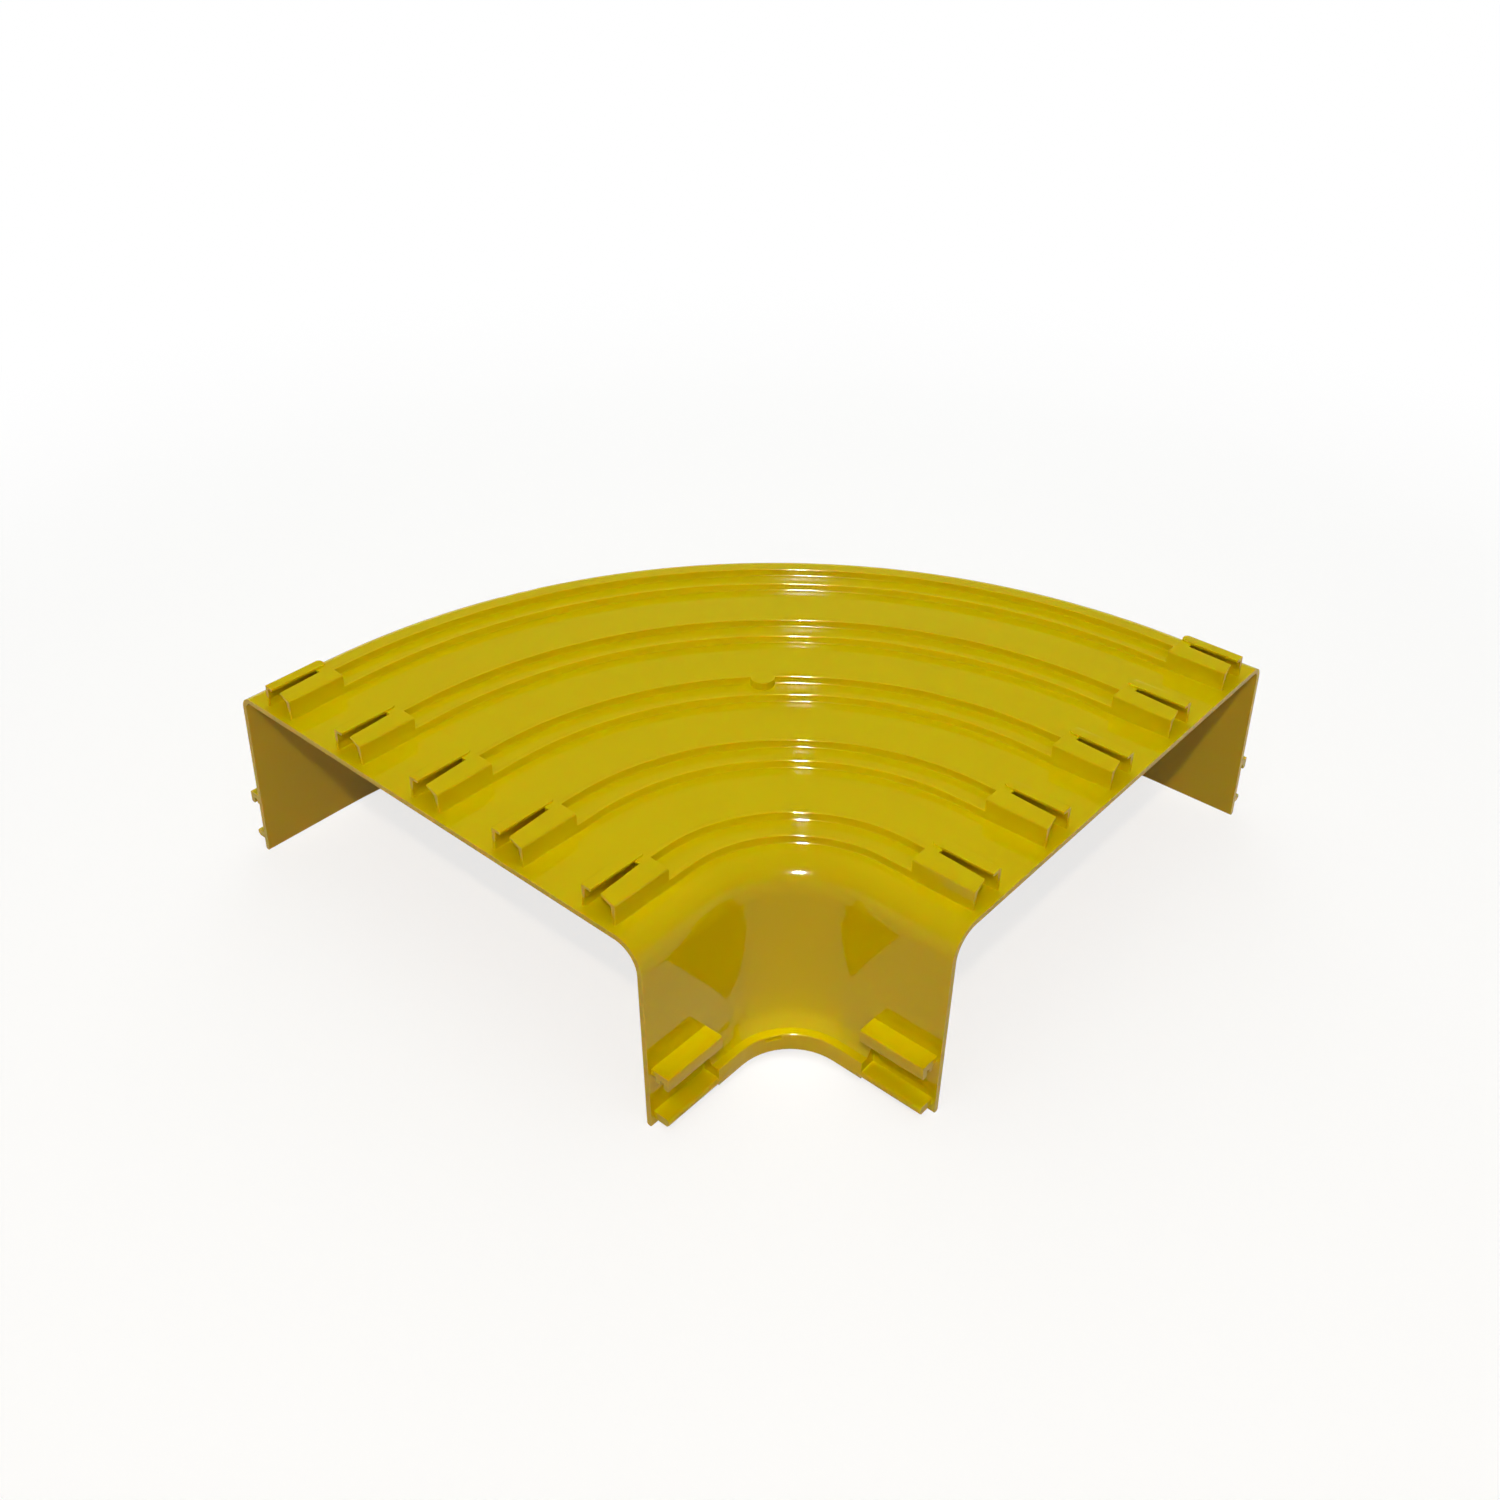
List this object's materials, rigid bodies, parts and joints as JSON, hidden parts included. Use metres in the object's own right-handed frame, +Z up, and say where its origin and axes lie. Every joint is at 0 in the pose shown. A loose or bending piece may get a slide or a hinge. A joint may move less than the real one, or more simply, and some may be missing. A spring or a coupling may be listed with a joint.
{
  "type": "raceway elbow",
  "caption": "Flat quarter-turn elbow of a fibre raceway: an open U channel with joiner sockets at both ends and raised ridges round the floor, lying mouth down on its rims.",
  "frame": {"origin": "middle of the part's box, on the plane of the two rims that it lies on", "axes": "+Z up from the rims to the floor's socket side, end A faces -Y, end B faces +X"},
  "size_m": [0.4102, 0.4102, 0.1196],
  "materials": {
    "yellow_plastic": "moulded, glossy"
  },
  "bodies": {
    "root": {"raceway_elbow": "yellow_plastic"}
  },
  "joints": []
}
